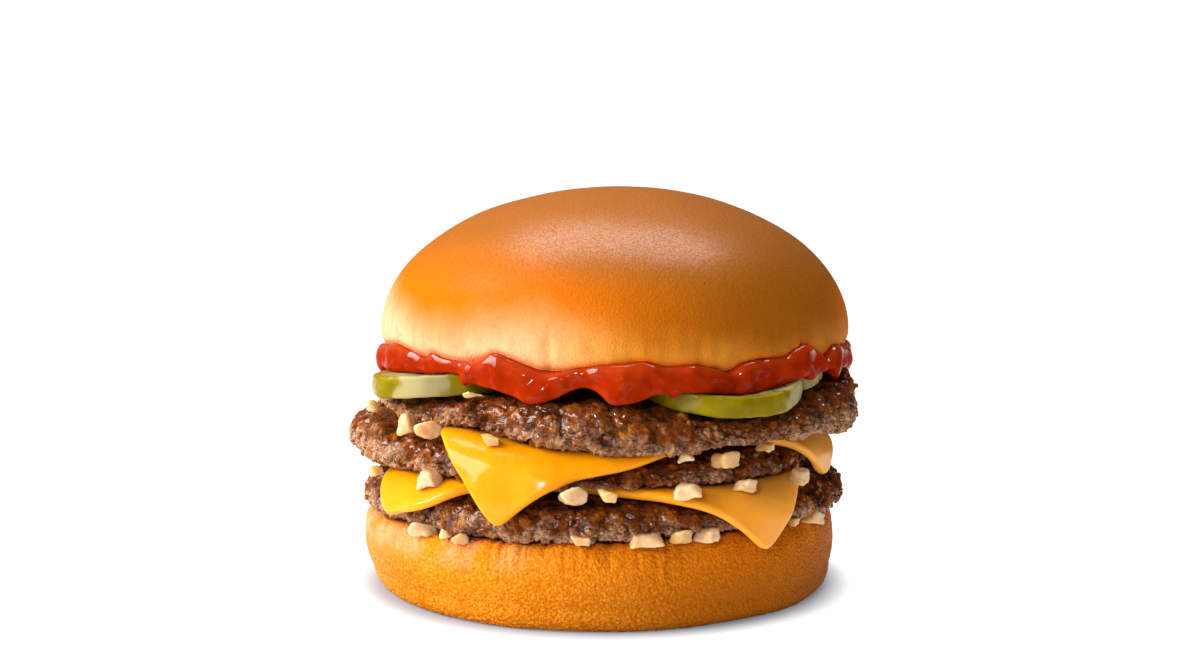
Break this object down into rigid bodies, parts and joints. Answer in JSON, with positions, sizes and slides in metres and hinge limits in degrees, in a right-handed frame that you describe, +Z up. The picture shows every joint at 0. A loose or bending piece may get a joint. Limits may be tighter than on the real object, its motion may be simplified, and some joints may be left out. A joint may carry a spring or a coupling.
{
  "type": "triple cheeseburger",
  "caption": "Stacked round sandwich: domed bun over ketchup and pickle slices, then beef patties with draped cheese and diced onion, on a thick bun heel.",
  "frame": {"origin": "middle of the flat base of the lower bun, on the surface that the burger stands on", "axes": "+Z up through the stack, -Y towards the front, the side with the long upper cheese corner, +X to the right seen from the front"},
  "size_m": [0.1084, 0.1086, 0.0846],
  "materials": {
    "crust": "baked golden bun crust, smooth and satin on the dome, paler near the cut, pebbled on the heel",
    "beef": "grilled ground beef, coarse, dark brown and greasy",
    "cheese": "melted orange-yellow cheese slice, smooth and soft-edged",
    "pickle": "wet yellow-green pickle, with a darker rind",
    "ketchup": "wet glossy orange-red ketchup",
    "onion": "cooked white onion, partly see-through"
  },
  "bodies": {
    "root": {"bun_heel": "crust", "bun_crown": "crust", "patty_lower": "beef", "patty_middle": "beef", "patty_upper": "beef", "cheese_lower": "cheese", "cheese_upper": "cheese", "pickle_front_left": "pickle", "pickle_front_right": "pickle", "pickle_right": "pickle", "pickle_back": "pickle", "ketchup": "ketchup", "onion_heel_1": "onion", "onion_heel_2": "onion", "onion_heel_3": "onion", "onion_heel_4": "onion", "onion_heel_5": "onion", "onion_heel_6": "onion", "onion_heel_7": "onion", "onion_heel_8": "onion", "onion_heel_9": "onion", "onion_heel_10": "onion", "onion_heel_11": "onion", "onion_heel_12": "onion", "onion_heel_13": "onion", "onion_heel_14": "onion", "onion_heel_15": "onion", "onion_heel_16": "onion", "onion_lower_1": "onion", "onion_lower_2": "onion", "onion_lower_3": "onion", "onion_lower_4": "onion", "onion_lower_5": "onion", "onion_lower_6": "onion", "onion_lower_7": "onion", "onion_lower_8": "onion", "onion_lower_9": "onion", "onion_lower_10": "onion", "onion_lower_11": "onion", "onion_middle_1": "onion", "onion_middle_2": "onion", "onion_middle_3": "onion", "onion_middle_4": "onion", "onion_middle_5": "onion", "onion_middle_6": "onion", "onion_middle_7": "onion", "onion_middle_8": "onion", "onion_middle_9": "onion", "onion_middle_10": "onion", "onion_upper_1": "onion"}
  },
  "joints": []
}
